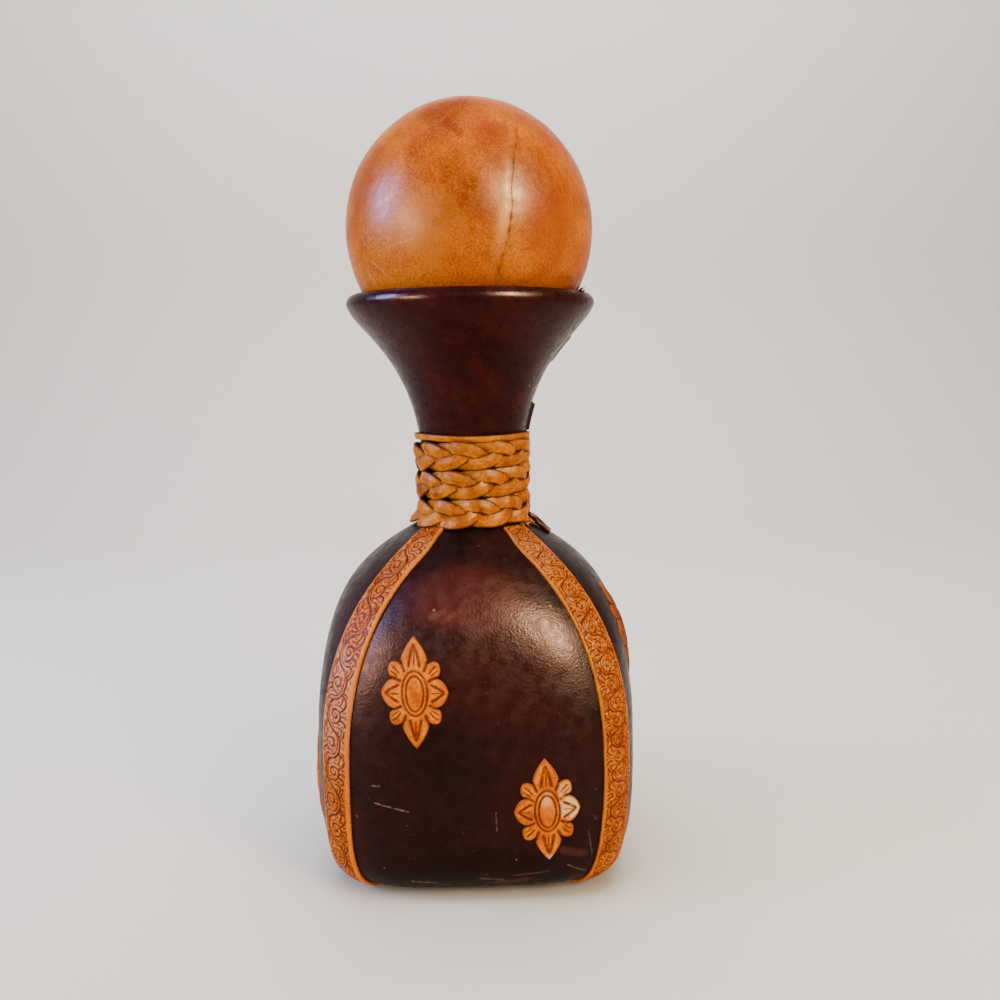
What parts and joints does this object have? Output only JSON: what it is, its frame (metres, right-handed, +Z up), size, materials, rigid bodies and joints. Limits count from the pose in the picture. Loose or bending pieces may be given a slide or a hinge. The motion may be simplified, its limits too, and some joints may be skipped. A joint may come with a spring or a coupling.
{
  "type": "leather-wrapped decanter",
  "caption": "Square-bodied glass decanter dressed in dark leather with tan corner strips, medallions and a plaited neck band, closed by a leather-covered ball stopper on a cork.",
  "frame": {"origin": "on the table under the middle of the bottle", "axes": "+Z up along the bottle's axis, -Y out of the front face that the picture shows, +X to the right seen from the front"},
  "size_m": [0.1246, 0.1246, 0.2912],
  "materials": {
    "bottle_glass": "clear moulded glass, colour guessed",
    "base_pad": "plain dark leather, rough side down",
    "dark_leather": "polished oxblood leather with fine grain and scuffs",
    "braid_leather": "flat golden-tan leather lace, plaited",
    "strip_leather": "tan leather tooled with dark scrolls",
    "medallion_leather": "golden-tan stamped leather with dark grooves",
    "ball_leather": "waxed orange-tan leather with fine mottling",
    "stopper_wood": "plain turned wood, hidden",
    "stopper_cork": "natural cork"
  },
  "bodies": {
    "bottle": {"glass_bottle": "bottle_glass", "base_pad": "base_pad", "neck_sleeve": "dark_leather", "neck_braid": "braid_leather", "front_panel": "dark_leather", "right_panel": "dark_leather", "back_panel": "dark_leather", "left_panel": "dark_leather", "corner_strip_front_right": "strip_leather", "corner_strip_right_back": "strip_leather", "corner_strip_back_left": "strip_leather", "corner_strip_left_front": "strip_leather", "front_upper_medallion": "medallion_leather", "front_lower_medallion": "medallion_leather", "right_upper_medallion": "medallion_leather", "right_lower_medallion": "medallion_leather", "back_upper_medallion": "medallion_leather", "back_lower_medallion": "medallion_leather", "left_upper_medallion": "medallion_leather", "left_lower_medallion": "medallion_leather"},
    "stopper": {"stopper_core": "stopper_wood", "stopper_right_cup": "ball_leather", "stopper_left_cup": "ball_leather", "stopper_cork": "stopper_cork", "stopper_dowel": "stopper_wood"}
  },
  "joints": [
    {"name": "stopper_lift", "type": "slide", "parent": "bottle", "child": "stopper", "axis": [0, 0, 1], "range_m": [0, 0.09]}
  ]
}
